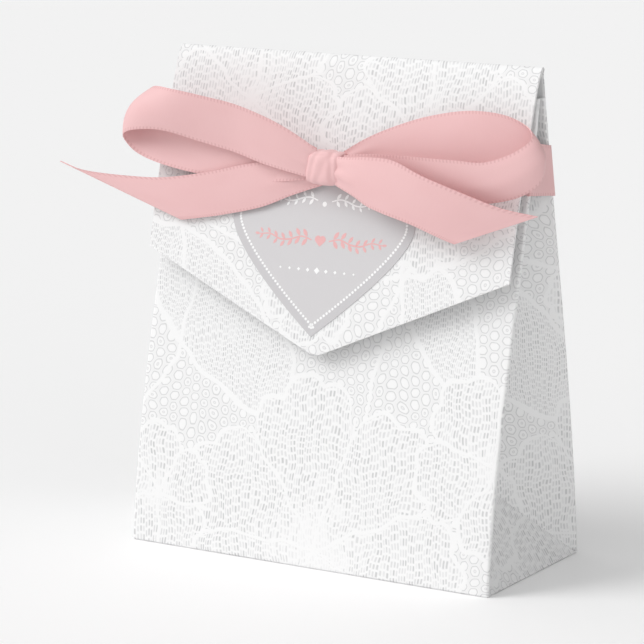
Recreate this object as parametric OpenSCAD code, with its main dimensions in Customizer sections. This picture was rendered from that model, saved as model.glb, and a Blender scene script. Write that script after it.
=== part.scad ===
// Tent-shaped favour box of folded card, closed by a front flap that folds over
// the ridge, with a heart label on the flap and a satin ribbon tied in a bow.
// Millimetres. X runs across the front, -Y is the front, +Z is up.
// The origin is the middle of the base, on the surface that the box stands on.

/* [Card box] */
// Width across the front and back panels
box_w = 82.5; // [76:0.5:90]
// Depth of the base, from front to back
box_d = 38.5; // [36:0.5:42]
// Height of the ridge crease
box_h = 100; // [96:1:106]
// Thickness of the card
card = 0.5; // [0.4:0.05:0.55]
// Gap kept between pieces of card that fold against each other
fold_gap = 0.08; // [0.05:0.01:0.1]

/* [Gussets] */
// How far the centre crease of each side gusset folds in
gusset_in = 9.5; // [8:0.5:11]
// Height of the point where the gusset's slanting creases meet
foot_h = 15.5; // [14:0.5:17]

/* [Flap] */
// Height of the flap's two lower corners
flap_corner_h = 60; // [56:1:64]
// Height of the flap's middle point
flap_tip_h = 42; // [38:1:46]
// Distance of each ribbon slot from the middle of the flap
slot_x = 27.3; // [25:0.1:30]
// Width of a ribbon slot
slot_w = 0.9; // [0.8:0.1:1.4]
// Height of a ribbon slot's lower end
slot_bottom = 76; // [75:0.5:77.5]
// Height of a ribbon slot's upper end
slot_top = 92; // [90:0.5:92.5]

/* [Heart label] */
// Width of the heart
heart_w = 41.6; // [36:0.2:44]
// Height of the heart's point
heart_tip_h = 45.8; // [45:0.1:48]
// Distance of the heart's point to the left of the middle
heart_left = 1.2; // [0:0.1:2]
// Thickness of the label
label_t = 0.15; // [0.1:0.01:0.2]

/* [Ribbon] */
// Width of the ribbon
ribbon_w = 10; // [9:0.5:11]
// Thickness of the ribbon
ribbon_t = 0.3; // [0.25:0.05:0.35]
// Height of the ribbon's middle at the back
ribbon_back_h = 79.5; // [78:0.5:81]
// Height of the ribbon's middle at the side edges of the front panel
ribbon_side_h = 80.8; // [80:0.2:82]
// Height of the ribbon's middle where it passes a slot
ribbon_slot_h = 83.4; // [83:0.2:84]
// Width of the knot across the bow
knot_w = 7.4; // [7:0.2:7.8]
// Depth of the knot in front of the flap
knot_d = 5.4; // [5:0.2:6]
// Height of the knot itself
knot_tall = 7; // [6.6:0.2:7.6]
// Height of the knot's middle above the base
knot_h = 79.1; // [78.7:0.2:79.5]
// Distance of the knot to the right of the middle
knot_x = 0.4; // [0:0.1:0.8]

/* [Hidden] */

CARD_WHITE = [0.97, 0.97, 0.96];
CARD_INSIDE = [0.93, 0.93, 0.92];
LABEL_GREY = [0.84, 0.83, 0.84];
RIBBON_PINK = [0.93, 0.68, 0.68];

half_w = box_w / 2;
half_d = box_d / 2;
// The front panel ends a little below the ridge, behind the flap, and the back
// panel ends just under the bend of the card over the ridge
front_top = box_h - 6;
back_top = box_h - 0.9;
// The flap leaves its bend over the ridge at this height
flap_start = box_h - 3.5;
bend_end = box_h - 5.4;
// The ridge crease, which is the flap's hinge line
ridge = [0.0377 * box_d, box_h - 0.05];
// Steps along a curved panel, and along one stretch of ribbon
PANEL_STEPS = 22;
RIBBON_STEPS = 4;

// ---------------------------------------------------------------- curves

function bezier(p, t) = p[0] * pow(1 - t, 3) + 3 * p[1] * t * pow(1 - t, 2)
    + 3 * p[2] * t * t * (1 - t) + p[3] * pow(t, 3);

// Outer faces of the panels, as distances from the middle at a height
function front_y(z) = box_d * bezier([-0.5, -0.444, -0.140, -0.0195], z / front_top);
function back_y(z) = box_d * bezier([0.5, 0.4255, 0.187, 0.0364], z / box_h);
function flap_y(z) = box_d * bezier([-0.0364, -0.2026, -0.3247, -0.3948],
    (flap_start - z) / (flap_start - flap_tip_h));

// Middle of the hollow between the front and back panels
function middle_y(z) = (front_y(z) + back_y(z)) / 2;

function steps(from, to, n) = [for (i = [0:n]) from + (to - from) * i / n];
function reversed(list) = [for (i = [len(list) - 1:-1:0]) list[i]];
function unit(v) = v / norm(v);

// Direction of a list of points at one of them
function heading(points, i) = unit(points[min(i + 1, len(points) - 1)] - points[max(i - 1, 0)]);

// The same curve moved to its right by a distance
function moved(curve, d) = [for (i = [0:len(curve) - 1])
    curve[i] + d * [heading(curve, i)[1], -heading(curve, i)[0]]];

FRONT_CURVE = [for (z = steps(0, front_top, PANEL_STEPS)) [front_y(z), z]];
BACK_CURVE = [for (z = steps(0, back_top, PANEL_STEPS)) [back_y(z), z]];
BEND = [ridge, [-0.005 * box_d, box_h - 0.4], [-0.026 * box_d, box_h - 2.8],
    [flap_y(bend_end), bend_end]];
FLAP_CURVE = concat([for (t = steps(0, 1, 8)) bezier(BEND, t)],
    [for (z = steps(bend_end - 1.2, flap_tip_h - 1, PANEL_STEPS)) [flap_y(z), z]]);

// ---------------------------------------------------------------- builders

// A sheet that follows a curve in the Y-Z plane, as wide as w across X
module curved_sheet(curve, from, to, w) {
    rotate([90, 0, 90])
        translate([0, 0, -w / 2])
            linear_extrude(w)
                polygon(concat(moved(curve, from), reversed(moved(curve, to))));
}

// A solid through a list of four-cornered sections
module loft(sections) {
    last = len(sections) - 1;
    points = [for (s = sections) for (p = s) p];
    walls = [for (i = [0:last - 1]) for (j = [0:3])
        let (a = 4 * i + j, b = 4 * i + (j + 1) % 4)
        each [[a, a + 4, b + 4], [a, b + 4, b]]];
    ends = [[0, 1, 2], [0, 2, 3],
        [4 * last, 4 * last + 2, 4 * last + 1], [4 * last, 4 * last + 3, 4 * last + 2]];
    polyhedron(points, concat(walls, ends));
}

// A point on a smooth curve through a list of points
function smooth(p, i, t) =
    let (a = p[max(i - 1, 0)], b = p[i], c = p[i + 1], d = p[min(i + 2, len(p) - 1)])
    0.5 * (2 * b + (c - a) * t + (2 * a - 5 * b + 4 * c - d) * t * t
    + (3 * b - a - 3 * c + d) * pow(t, 3));
function smooth_line(p) = [for (i = [0:len(p) - 2]) for (k = [0:RIBBON_STEPS - 1])
    smooth(p, i, k / RIBBON_STEPS), p[len(p) - 1]];

// A ribbon between its top and bottom edges, each a list of points
module ribbon(top, bottom) {
    upper = smooth_line(top);
    lower = smooth_line(bottom);
    middle = (upper + lower) / 2;
    loft([for (i = [0:len(upper) - 1])
        let (n = unit(cross(heading(middle, i), upper[i] - lower[i])) * ribbon_t / 2)
        [upper[i] + n, upper[i] - n, lower[i] - n, lower[i] + n]]);
}

module other_side(side) {
    if (side > 0) children();
    else mirror([1, 0, 0]) children();
}

// ---------------------------------------------------------------- card box

module base_panel() {
    // The gusset feet lean in over its side edges
    lean = card * gusset_in / foot_h;
    w = box_w - 2 * (card + lean + fold_gap);
    d = box_d - 2 * card - 2 * fold_gap;
    color(CARD_WHITE)
        translate([-w / 2, -d / 2, 0])
            cube([w, d, card]);
}

module front_panel() {
    color(CARD_WHITE)
        curved_sheet(FRONT_CURVE, 0, card, box_w);
}

module back_panel() {
    color(CARD_WHITE)
        curved_sheet(BACK_CURVE, 0, -card, box_w);
}

// The base's rear edge turns up inside the back panel and is glued to it
module base_glue_flap() {
    inside = card + fold_gap;
    curve = [for (z = steps(card + 3 * fold_gap, 12, 4)) [back_y(z), z]];
    color(CARD_INSIDE)
        curved_sheet(curve, -inside, -inside - card, box_w - 14);
}

// The strip of blank is closed by one tab, glued inside the back panel's left edge
module side_glue_tab() {
    inside = card + fold_gap;
    curve = [for (z = steps(14, 58, 10)) [back_y(z), z]];
    color(CARD_INSIDE)
        translate([-half_w + 5.5, 0, 0])
            curved_sheet(curve, -inside, -inside - card, 8);
}

// Triangle that leans in from the base's side edge, below the slanting creases
module gusset_foot(side) {
    y = half_d - card - fold_gap;
    in_x = [-card, 0, 0];
    point = [half_w - gusset_in, middle_y(foot_h), foot_h];
    front = [half_w, -y, 0];
    back = [half_w, y, 0];
    color(CARD_WHITE)
        other_side(side)
            polyhedron([front, back, point, front + in_x, back + in_x, point + in_x],
                [[0, 2, 1], [3, 4, 5], [0, 1, 4, 3], [1, 2, 5, 4], [2, 0, 3, 5]]);
}

// One half of a folded gusset: toward is -1 for the front half and 1 for the back.
// Each level runs from the panel's edge in to the slanting or the centre crease.
function panel_inner_y(z, toward) = toward < 0 ? front_y(z) + card : back_y(z) - card;
function crease_point(z, toward) =
    let (s = min(z / foot_h, 1), edge = toward * (half_d - card - fold_gap))
    [half_w - gusset_in * s, edge + (middle_y(max(z, foot_h)) + toward * 0.3 - edge) * s, z];
function edge_point(z, toward) =
    [half_w - 0.3, panel_inner_y(z, toward) - toward * (card / 2 + fold_gap), z];
function half_section(z, toward) =
    let (e = edge_point(z, toward), c = crease_point(max(z - 0.5, 0.2), toward),
        inner = [c[0], c[1], z], d = unit(inner - e), n = [-d[1], d[0], 0] * card / 2)
    [e + n, e - n, inner - n, inner + n];
HALF_LEVELS = concat([2.5, 6, 10], steps(foot_h + 0.5, front_top - 0.5, 14));

module gusset_half(side, toward) {
    sections = [for (z = HALF_LEVELS) half_section(z, toward)];
    color(CARD_WHITE)
        other_side(side)
            loft(toward < 0 ? sections : [for (s = sections) reversed(s)]);
}

// ---------------------------------------------------------------- flap

// Front view of the flap: straight sides and a shallow V along its lower edge
FLAP_OUTLINE = [[-half_w, box_h + 1], [-half_w, flap_corner_h], [0, flap_tip_h],
    [half_w, flap_corner_h], [half_w, box_h + 1]];

// Extrudes a front view through the flap
module through_flap() {
    rotate([90, 0, 0])
        translate([0, 0, -3])
            linear_extrude(22)
                children();
}

module lid_flap() {
    slot_h = slot_top - slot_bottom;
    color(CARD_WHITE)
        difference() {
            intersection() {
                curved_sheet(FLAP_CURVE, 0, -card, box_w);
                through_flap() polygon(FLAP_OUTLINE);
            }
            for (side = [-1, 1])
                translate([side * slot_x - slot_w / 2, -half_d, slot_bottom])
                    cube([slot_w, half_d - 1, slot_h]);
        }
}

// Right half of the heart: a lobe's arc, then a slightly full side down to the point
lobe_r = 0.296 * heart_w;
lobe_x = heart_w / 2 - lobe_r;
lobe_z = heart_tip_h + 0.535 * heart_w;
notch_angle = acos(lobe_x / lobe_r);
HEART_SIDE = [[lobe_x + lobe_r, lobe_z], [lobe_x + lobe_r, lobe_z - 0.12 * heart_w],
    [0.22 * heart_w, heart_tip_h + 0.17 * heart_w], [0, heart_tip_h]];
HEART_HALF = concat([for (a = steps(180 - notch_angle, 0, 16))
    [lobe_x + lobe_r * cos(a), lobe_z + lobe_r * sin(a)]],
    [for (t = steps(0.1, 1, 9)) bezier(HEART_SIDE, t)]);
HEART = concat(HEART_HALF, [for (i = [len(HEART_HALF) - 2:-1:1])
    [-HEART_HALF[i][0], HEART_HALF[i][1]]]);

module heart_label() {
    color(LABEL_GREY)
        intersection() {
            curved_sheet(FLAP_CURVE, 0.02 + label_t, 0.02, box_w);
            through_flap() translate([-heart_left, 0]) polygon(HEART);
        }
}

// ---------------------------------------------------------------- ribbon round the box

// Distance of a ribbon's middle from the face it lies on
lie = 0.05 + ribbon_t / 2;
half_r = ribbon_w / 2;

module ribbon_back() {
    curve = [for (z = steps(ribbon_back_h - half_r, ribbon_back_h + half_r, 5)) [back_y(z), z]];
    color(RIBBON_PINK)
        curved_sheet(curve, lie + ribbon_t / 2, lie - ribbon_t / 2, box_w + 0.6);
}

// Spans the gusset's mouth, from the back panel's edge to the front panel's
function side_edge(up) =
    let (x = half_w + lie, back_z = ribbon_back_h + up * half_r,
        front_z = ribbon_side_h + up * half_r)
    [[x, back_y(back_z) - 0.2, back_z], [x, front_y(front_z) - 0.1, front_z]];

module ribbon_side(side) {
    color(RIBBON_PINK)
        other_side(side)
            ribbon(side_edge(1), side_edge(-1));
}

// Lies on the front panel under the flap, from the panel's edge to the slot
tuck_end = slot_x + 2;
function tuck_edge(up) = [for (k = [0, 0.5, 1])
    let (z = ribbon_side_h + (ribbon_slot_h - ribbon_side_h) * k + up * half_r)
    [half_w + 0.3 + (tuck_end - half_w - 0.3) * k, front_y(z) - lie - 0.15, z]];

module ribbon_tuck(side) {
    color(RIBBON_PINK)
        other_side(side)
            ribbon(tuck_edge(1), tuck_edge(-1));
}

// Comes out of the slot and crosses the flap's face to the knot. Each entry is the
// distance across, the distance in front of the flap's face and the middle's height.
BAND_LINE = [[slot_x + 0.9, -0.95, ribbon_slot_h], [slot_x + 0.1, -0.55, ribbon_slot_h],
    [slot_x - 0.1, 0.05, ribbon_slot_h], [slot_x - 0.9, 0.5, ribbon_slot_h - 0.2],
    [slot_x - 6, 0.5, ribbon_slot_h - 1.3], [16, 0.5, ribbon_slot_h - 2.6],
    [knot_w / 2 + 0.8, 0.9, knot_h]];
function band_edge(up) = [for (p = BAND_LINE)
    let (z = p[2] + up * (p[0] < 10 ? 0.6 : 1) * half_r) [p[0], flap_y(z) - p[1], z]];

module ribbon_band(side) {
    color(RIBBON_PINK)
        other_side(side)
            ribbon(band_edge(1), band_edge(-1));
}

// ---------------------------------------------------------------- bow

// The knot's back clears the label where the flap stands furthest forward
knot_back_y = flap_y(knot_h - knot_tall / 2) - 0.4;

module bow_knot() {
    r = 2.6;
    color(RIBBON_PINK)
        translate([knot_x, knot_back_y, knot_h])
            rotate([90, 0, 0])
                linear_extrude(knot_d)
                    hull()
                        for (x = [-1, 1], z = [-1, 1])
                            translate([x * (knot_w / 2 - r), z * (knot_tall / 2 - r)])
                                circle(r, $fn = 32);
}

// The loops and tails, from the knot out. Each pair is a point on the top edge and the
// point on the bottom edge across the ribbon from it. The loops go out along their
// front strip, turn at their far end and come back along their rear strip.
left_x = knot_x - knot_w / 2 - 0.15;
right_x = knot_x + knot_w / 2 + 0.15;
LOOP_LEFT = [[[left_x, -12.3, 82.2], [left_x, -12.3, 76.8]], [[-8, -13.8, 87], [-8.4, -13.8, 78]],
    [[-16, -15.2, 90], [-17.2, -15.2, 79.8]], [[-25, -15.6, 91.7], [-27, -15.6, 82.2]],
    [[-33, -14.8, 92.8], [-36, -15.2, 84.2]], [[-38.6, -12.8, 92.9], [-42.6, -14.8, 84]],
    [[-41.6, -10.6, 91.6], [-46.4, -13.2, 82.8]], [[-42.4, -9.8, 89.6], [-46.9, -11.9, 81]],
    [[-40.6, -9.6, 87.6], [-44.2, -11.4, 78.6]], [[-35.6, -9.6, 86.2], [-38.4, -11.2, 76.8]],
    [[-27.4, -9.6, 85.2], [-29.3, -11.2, 75.5]], [[-15, -9.8, 84.6], [-15.6, -11.1, 75.1]],
    [[-7.6, -10.2, 83], [-7.8, -11.1, 75.8]], [[left_x, -10.6, 81.4], [left_x, -11, 76.6]]];
LOOP_RIGHT = [[[right_x, -11.4, 81.6], [right_x, -11.4, 76.8]], [[9.5, -12.4, 82.6], [9.5, -12.4, 75]],
    [[17, -13.8, 83], [17.6, -12.8, 73.8]], [[24, -14.6, 83.1], [25.4, -13, 73.9]],
    [[31, -15.2, 83.2], [32.6, -12.9, 74.7]], [[36.4, -15, 83.2], [38.6, -12.6, 75.5]],
    [[40.6, -14.2, 84.9], [43.6, -12.2, 76.9]], [[43.6, -12.4, 87], [46.9, -11.4, 78.8]],
    [[44.4, -10.4, 88.8], [48, -10, 80.9]], [[42, -8.6, 90], [46, -8.8, 81.8]],
    [[37, -7.6, 91.5], [40.5, -8.4, 81.8]], [[29.6, -7, 91.7], [31, -8.2, 81.6]],
    [[20.6, -7, 90], [21.5, -8.6, 80.4]], [[13, -7.8, 87.4], [12.8, -9.2, 78.6]],
    [[7.8, -8.8, 85], [7.6, -9.6, 77.8]], [[right_x, -9.8, 82.2], [right_x, -10, 77]]];
TAIL_LEFT = [[[left_x, -9.4, 79.4], [left_x, -9.6, 75.4]], [[-10, -9.2, 79.6], [-8.2, -10.2, 72.8]],
    [[-18, -9.2, 78.4], [-15.2, -10.6, 69.9]], [[-27, -9.3, 76.2], [-23.5, -11, 67.8]],
    [[-37, -9.5, 74.4], [-28.6, -11.4, 66.8]], [[-46, -10, 74], [-31.4, -11.5, 66.3]],
    [[-57, -10.3, 74.3], [-33, -11.5, 66]], [[-63.2, -10.5, 75.7], [-33.7, -11.5, 65.9]]];
TAIL_RIGHT = [[[right_x, -13, 81.4], [right_x, -12.7, 75.8]], [[7.5, -13.9, 81.9], [7.6, -13.4, 74.4]],
    [[11.5, -15, 82.4], [11.2, -14.2, 72.8]], [[18, -16.2, 82.4], [15.4, -14.9, 71.7]],
    [[25, -16.9, 80], [21.3, -15.2, 70.3]], [[33.4, -16.6, 77.4], [26, -15, 68.7]],
    [[41, -15.4, 75], [28.8, -14.7, 67.7]], [[48.3, -14, 73.8], [30.8, -14.5, 67.1]]];

module bow_piece(pairs) {
    color(RIBBON_PINK)
        ribbon([for (pair = pairs) pair[0]], [for (pair = pairs) pair[1]]);
}

base_panel();
base_glue_flap();
back_panel();
side_glue_tab();
gusset_foot(-1);  // gusset_foot_left
gusset_foot(1);  // gusset_foot_right
gusset_half(-1, 1);  // gusset_back_left
gusset_half(1, 1);  // gusset_back_right
gusset_half(-1, -1);  // gusset_front_left
gusset_half(1, -1);  // gusset_front_right
front_panel();
lid_flap();
heart_label();
ribbon_back();
ribbon_side(-1);  // ribbon_side_left
ribbon_side(1);  // ribbon_side_right
ribbon_tuck(-1);  // ribbon_tuck_left
ribbon_tuck(1);  // ribbon_tuck_right
ribbon_band(-1);  // ribbon_band_left
ribbon_band(1);  // ribbon_band_right
bow_knot();
bow_piece(LOOP_LEFT);  // bow_loop_left
bow_piece(LOOP_RIGHT);  // bow_loop_right
bow_piece(TAIL_LEFT);  // bow_tail_left
bow_piece(TAIL_RIGHT);  // bow_tail_right
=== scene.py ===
"""A tent-shaped favour box of lace-printed card, tied with a pink satin bow.

Lengths are in millimetres until new_mesh turns them into metres. Sizes come from the
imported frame, and the card's curves repeat those of the CAD panels.
"""
import math

import bmesh
import bpy
import numpy as np
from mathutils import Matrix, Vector


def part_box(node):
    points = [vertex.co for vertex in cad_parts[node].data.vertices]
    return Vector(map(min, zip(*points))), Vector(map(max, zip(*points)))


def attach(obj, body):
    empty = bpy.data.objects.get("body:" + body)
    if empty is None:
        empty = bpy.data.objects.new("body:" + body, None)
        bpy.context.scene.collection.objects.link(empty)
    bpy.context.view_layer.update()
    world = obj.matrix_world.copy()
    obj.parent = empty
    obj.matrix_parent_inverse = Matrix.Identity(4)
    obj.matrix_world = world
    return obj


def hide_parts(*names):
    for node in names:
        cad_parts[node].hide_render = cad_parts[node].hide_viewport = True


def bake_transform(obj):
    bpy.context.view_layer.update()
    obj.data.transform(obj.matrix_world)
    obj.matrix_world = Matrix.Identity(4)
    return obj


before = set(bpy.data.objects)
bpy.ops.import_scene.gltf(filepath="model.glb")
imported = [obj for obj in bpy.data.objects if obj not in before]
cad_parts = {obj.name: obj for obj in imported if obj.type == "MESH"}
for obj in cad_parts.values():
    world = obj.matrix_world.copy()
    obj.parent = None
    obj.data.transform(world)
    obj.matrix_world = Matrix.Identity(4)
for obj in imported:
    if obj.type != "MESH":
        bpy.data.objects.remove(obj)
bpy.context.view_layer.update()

MM = 0.001


def corners(node):
    """Lowest and highest corner of a CAD node, in millimetres."""
    low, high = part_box(node)
    return low / MM, high / MM


base_low, base_high = corners("base_panel")
front_low, front_high = corners("front_panel")
back_high = corners("back_panel")[1]
flap_high = corners("lid_flap")[1]
heart_low, heart_high = corners("heart_label")
knot_low, knot_high = corners("bow_knot")

HALF_W = front_high.x
DEPTH = back_high.y - front_low.y
HEIGHT = flap_high.z + 0.05
CARD = base_high.z - base_low.z

# Heights of the front panel's upper edge, of the flap's curve where it starts under the
# ridge, of the end of its bend, and of its point and its corners
FRONT_TOP = HEIGHT - 6
FLAP_START = HEIGHT - 3.5
BEND_END = HEIGHT - 5.4
FLAP_TIP = 42
FLAP_CORNER = 60

# How far a gusset folds in, the height of its foot, and the radius of a crease
GUSSET_IN = 9.5
FOOT_TOP = 15.5
FOLD_R = 0.5

# The hidden strip inside a foot's front crease: width, thickness and clearance
HEM_W = 2.4
HEM_T = 0.15
HEM_CLEAR = 0.3

# The flap's slots, as distance from the middle, width and end heights, and the ribbon
SLOT_X = 27.3
SLOT_W = 0.9
SLOT_LOW = 76
SLOT_HIGH = 92
RIBBON_W = 10
RIBBON_T = 0.22

PANEL_COLUMNS = 44

# ---------------------------------------------------------------- curves


def bezier(p, t):
    return (p[0] * (1 - t) ** 3 + 3 * p[1] * t * (1 - t) ** 2
            + 3 * p[2] * t * t * (1 - t) + p[3] * t ** 3)


def front_y(z):
    """Outer face of the front panel at a height."""
    return DEPTH * bezier([-0.5, -0.444, -0.140, -0.0195], z / FRONT_TOP)


def back_y(z):
    """Outer face of the back panel at a height."""
    return DEPTH * bezier([0.5, 0.4255, 0.187, 0.0364], z / HEIGHT)


def flap_y(z):
    """Outer face of the flap at a height below its bend."""
    t = (FLAP_START - z) / (FLAP_START - FLAP_TIP)
    return DEPTH * bezier([-0.0364, -0.2026, -0.3247, -0.3948], t)


def middle_y(z):
    return (front_y(z) + back_y(z)) / 2


def spline(points, per_step):
    """A smooth curve through the points, with per_step pieces between each two."""
    p = np.array(points, float)
    p = np.vstack([2 * p[0] - p[1], p, 2 * p[-1] - p[-2]])
    curve = []
    for i in range(1, len(p) - 2):
        a, b, c, d = p[i - 1:i + 3]
        for k in range(per_step):
            t = k / per_step
            curve.append(0.5 * (2 * b + (c - a) * t + (2 * a - 5 * b + 4 * c - d) * t * t
                                + (3 * b - a - 3 * c + d) * t ** 3))
    curve.append(p[-2])
    return np.array(curve)


def unit(v):
    return v / np.maximum(np.linalg.norm(v, axis=-1, keepdims=True), 1e-9)


def along(points):
    """Distance of each point along its curve."""
    steps = np.linalg.norm(np.diff(points, axis=0), axis=1)
    return np.concatenate([[0], np.cumsum(steps)])


# ---------------------------------------------------------------- meshes


def new_mesh(name, points, faces, material, marks=None, crease=40):
    """A mesh object from points in millimetres. marks is a vector for each point."""
    mesh = bpy.data.meshes.new(name)
    mesh.from_pydata((np.array(points, float) * MM).tolist(), [], faces)
    if marks is not None:
        layer = mesh.attributes.new("print_at", "FLOAT_VECTOR", "POINT")
        layer.data.foreach_set("vector", np.array(marks, np.float32).ravel())
    bm = bmesh.new()
    bm.from_mesh(mesh)
    bmesh.ops.recalc_face_normals(bm, faces=bm.faces)
    bm.to_mesh(mesh)
    bm.free()
    mesh.polygons.foreach_set("use_smooth", [True] * len(mesh.polygons))
    mesh.set_sharp_from_angle(angle=math.radians(crease))
    mesh.materials.append(material)
    piece = bpy.data.objects.new(name, mesh)
    bpy.context.scene.collection.objects.link(piece)
    return piece


def grid_normals(grid):
    """Unit normals of a grid of points, from its rows and columns."""
    return unit(np.cross(np.gradient(grid, axis=0), np.gradient(grid, axis=1)))


def slab(name, outer, inner, marks, material, holes=(), crease=40):
    """A closed sheet between two grids of points. marks gives the outer face's two
    print coordinates at each point, and holes names the cells that are cut out."""
    rows, cols = outer.shape[:2]
    count = rows * cols
    faces = []
    open_edges = {}
    for i in range(rows - 1):
        for j in range(cols - 1):
            if (i, j) in holes:
                continue
            a = i * cols + j
            quad = [a, a + 1, a + cols + 1, a + cols]
            faces.append(quad)
            faces.append([count + k for k in reversed(quad)])
            for p, q in zip(quad, quad[1:] + quad[:1]):
                if (q, p) in open_edges:
                    del open_edges[(q, p)]
                else:
                    open_edges[(p, q)] = True
    faces += [[q, p, count + p, count + q] for p, q in open_edges]
    flat = np.concatenate([outer.reshape(-1, 3), inner.reshape(-1, 3)])
    uv = np.asarray(marks, float).reshape(-1, 2)
    side = np.concatenate([np.ones(count), np.zeros(count)])
    both = np.column_stack([np.vstack([uv, uv]), side])
    return new_mesh(name, flat, faces, material, both, crease)


# ---------------------------------------------------------------- node helpers


class Shader:
    """Short ways to add nodes to a material."""

    def __init__(self, name):
        self.material = bpy.data.materials.new(name)
        self.material.use_nodes = True
        self.tree = self.material.node_tree
        self.tree.nodes.clear()
        self.surface = self.tree.nodes.new("ShaderNodeBsdfPrincipled")
        output = self.tree.nodes.new("ShaderNodeOutputMaterial")
        self.tree.links.new(self.surface.outputs[0], output.inputs[0])

    def feed(self, socket, value):
        if isinstance(value, bpy.types.NodeSocket):
            self.tree.links.new(value, socket)
        elif value is not None:
            socket.default_value = value

    def math(self, operation, a, b=None, c=None, clamp=False):
        node = self.tree.nodes.new("ShaderNodeMath")
        node.operation = operation
        node.use_clamp = clamp
        for socket, value in zip(node.inputs, (a, b, c)):
            self.feed(socket, value)
        return node.outputs[0]

    def plus(self, a, b):
        return self.math("ADD", a, b)

    def minus(self, a, b):
        return self.math("SUBTRACT", a, b)

    def times(self, a, b):
        return self.math("MULTIPLY", a, b)

    def ramp(self, value, start, end, low=0.0, high=1.0):
        """Smoothly from low to high as value goes from start to end."""
        node = self.tree.nodes.new("ShaderNodeMapRange")
        node.interpolation_type = "SMOOTHSTEP"
        for socket, number in zip(node.inputs, (value, start, end, low, high)):
            self.feed(socket, number)
        return node.outputs[0]

    def mix(self, factor, a, b):
        """a where factor is 0 and b where it is 1, for numbers."""
        node = self.tree.nodes.new("ShaderNodeMix")
        self.feed(node.inputs[0], factor)
        self.feed(node.inputs[2], a)
        self.feed(node.inputs[3], b)
        return node.outputs[0]

    def mix_colour(self, factor, a, b):
        node = self.tree.nodes.new("ShaderNodeMix")
        node.data_type = "RGBA"
        self.feed(node.inputs[0], factor)
        self.feed(node.inputs[6], a)
        self.feed(node.inputs[7], b)
        return node.outputs[2]

    def noise(self, place, scale, detail=2.0):
        node = self.tree.nodes.new("ShaderNodeTexNoise")
        self.feed(node.inputs["Vector"], place)
        node.inputs["Scale"].default_value = scale
        node.inputs["Detail"].default_value = detail
        return node

    def chance(self, x, y):
        """A fixed random number for each pair of whole numbers."""
        node = self.tree.nodes.new("ShaderNodeTexWhiteNoise")
        node.noise_dimensions = "2D"
        self.feed(node.inputs["Vector"], self.join(x, y))
        return node.outputs["Value"]

    def join(self, x, y, z=0.0):
        node = self.tree.nodes.new("ShaderNodeCombineXYZ")
        for socket, value in zip(node.inputs, (x, y, z)):
            self.feed(socket, value)
        return node.outputs[0]

    def split(self, vector):
        node = self.tree.nodes.new("ShaderNodeSeparateXYZ")
        self.feed(node.inputs[0], vector)
        return node.outputs

    def shift(self, vector, amount):
        node = self.tree.nodes.new("ShaderNodeVectorMath")
        node.operation = "ADD"
        self.feed(node.inputs[0], vector)
        self.feed(node.inputs[1], amount)
        return node.outputs[0]

    def scale(self, vector, amount):
        node = self.tree.nodes.new("ShaderNodeVectorMath")
        node.operation = "SCALE"
        self.feed(node.inputs[0], vector)
        self.feed(node.inputs["Scale"], amount)
        return node.outputs[0]

    def attribute(self, name):
        node = self.tree.nodes.new("ShaderNodeAttribute")
        node.attribute_name = name
        return node.outputs["Vector"]

    def position(self):
        """Place in the object's own frame, in millimetres."""
        node = self.tree.nodes.new("ShaderNodeTexCoord")
        return self.scale(node.outputs["Object"], 1 / MM)

    def bump(self, height, depth, strength=1.0):
        node = self.tree.nodes.new("ShaderNodeBump")
        node.inputs["Distance"].default_value = depth * MM
        node.inputs["Strength"].default_value = strength
        self.feed(node.inputs["Height"], height)
        self.tree.links.new(node.outputs[0], self.surface.inputs["Normal"])

    def set(self, **values):
        for name, value in values.items():
            self.feed(self.surface.inputs[name.replace("_", " ")], value)


# ---------------------------------------------------------------- lace print


def radius_from(s, u, v, x, z):
    """Distance of a point from a centre, and its two offsets."""
    dx = s.minus(u, x)
    dz = s.minus(v, z)
    square = s.math("MULTIPLY_ADD", dz, dz, s.times(dx, dx))
    return s.math("SQRT", square), dx, dz


def flower(s, u, v, x, z, radius, petals, turn):
    """Distance outside a scalloped flower, distance from the lines between its petals,
    and distance from its centre as a share of its radius."""
    r, dx, dz = radius_from(s, u, v, x, z)
    angle = s.plus(s.math("ARCTAN2", dz, dx), turn)
    wave = s.math("ABSOLUTE", s.math("SINE", s.times(angle, petals / 2)))
    lobe = s.math("POWER", wave, 0.5)
    scallop = s.math("ABSOLUTE", s.math("SINE", s.times(angle, petals * 1.5)))
    reach = s.math("MULTIPLY_ADD", lobe, 0.3 * radius, 0.63 * radius)
    reach = s.math("MULTIPLY_ADD", scallop, 0.07 * radius, reach)
    rib = s.times(s.times(wave, r), 2 / petals)
    return s.minus(r, reach), rib, s.math("DIVIDE", r, radius)


def disc(s, u, v, x, z, radius):
    """Distance outside a circle."""
    return s.minus(radius_from(s, u, v, x, z)[0], radius)


def band(s, distance, half_width, soft=0.15):
    """1 on a line and 0 away from it."""
    return s.ramp(s.math("ABSOLUTE", distance), half_width - soft, half_width + soft, 1.0, 0.0)


# Each flower: place across, height, radius, number of petals and turn
FLOWERS = [(2, 4, 34, 7, 0.5), (41, 25, 19, 5, 0.9), (-36, 11, 14, 5, 0.2),
           (-22, 90, 21, 6, 0.6), (20, 84, 24, 7, 0.1), (-2, 54, 11, 5, 1.2)]
# Each leaf is where two circles overlap: place, height and radius of each
LEAVES = [((-2, 74, 46), (-46, 24, 42)), ((44, 60, 26), (8, 42, 27))]
# Each stem is a circle's arc: place, height and radius
STEMS = [(64, 34, 52), (-70, 52, 38), (4, 124, 66)]

# Half the pitch of the net's columns and the pitch of its rows
NET_ACROSS = 2.38
NET_UP = 2.15
# Pitch of the stitching's dashes, and how much finer it is in the leaves
DASH_ACROSS = 0.64
DASH_UP = 1.62
LEAF_FINER = 1.45


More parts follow.
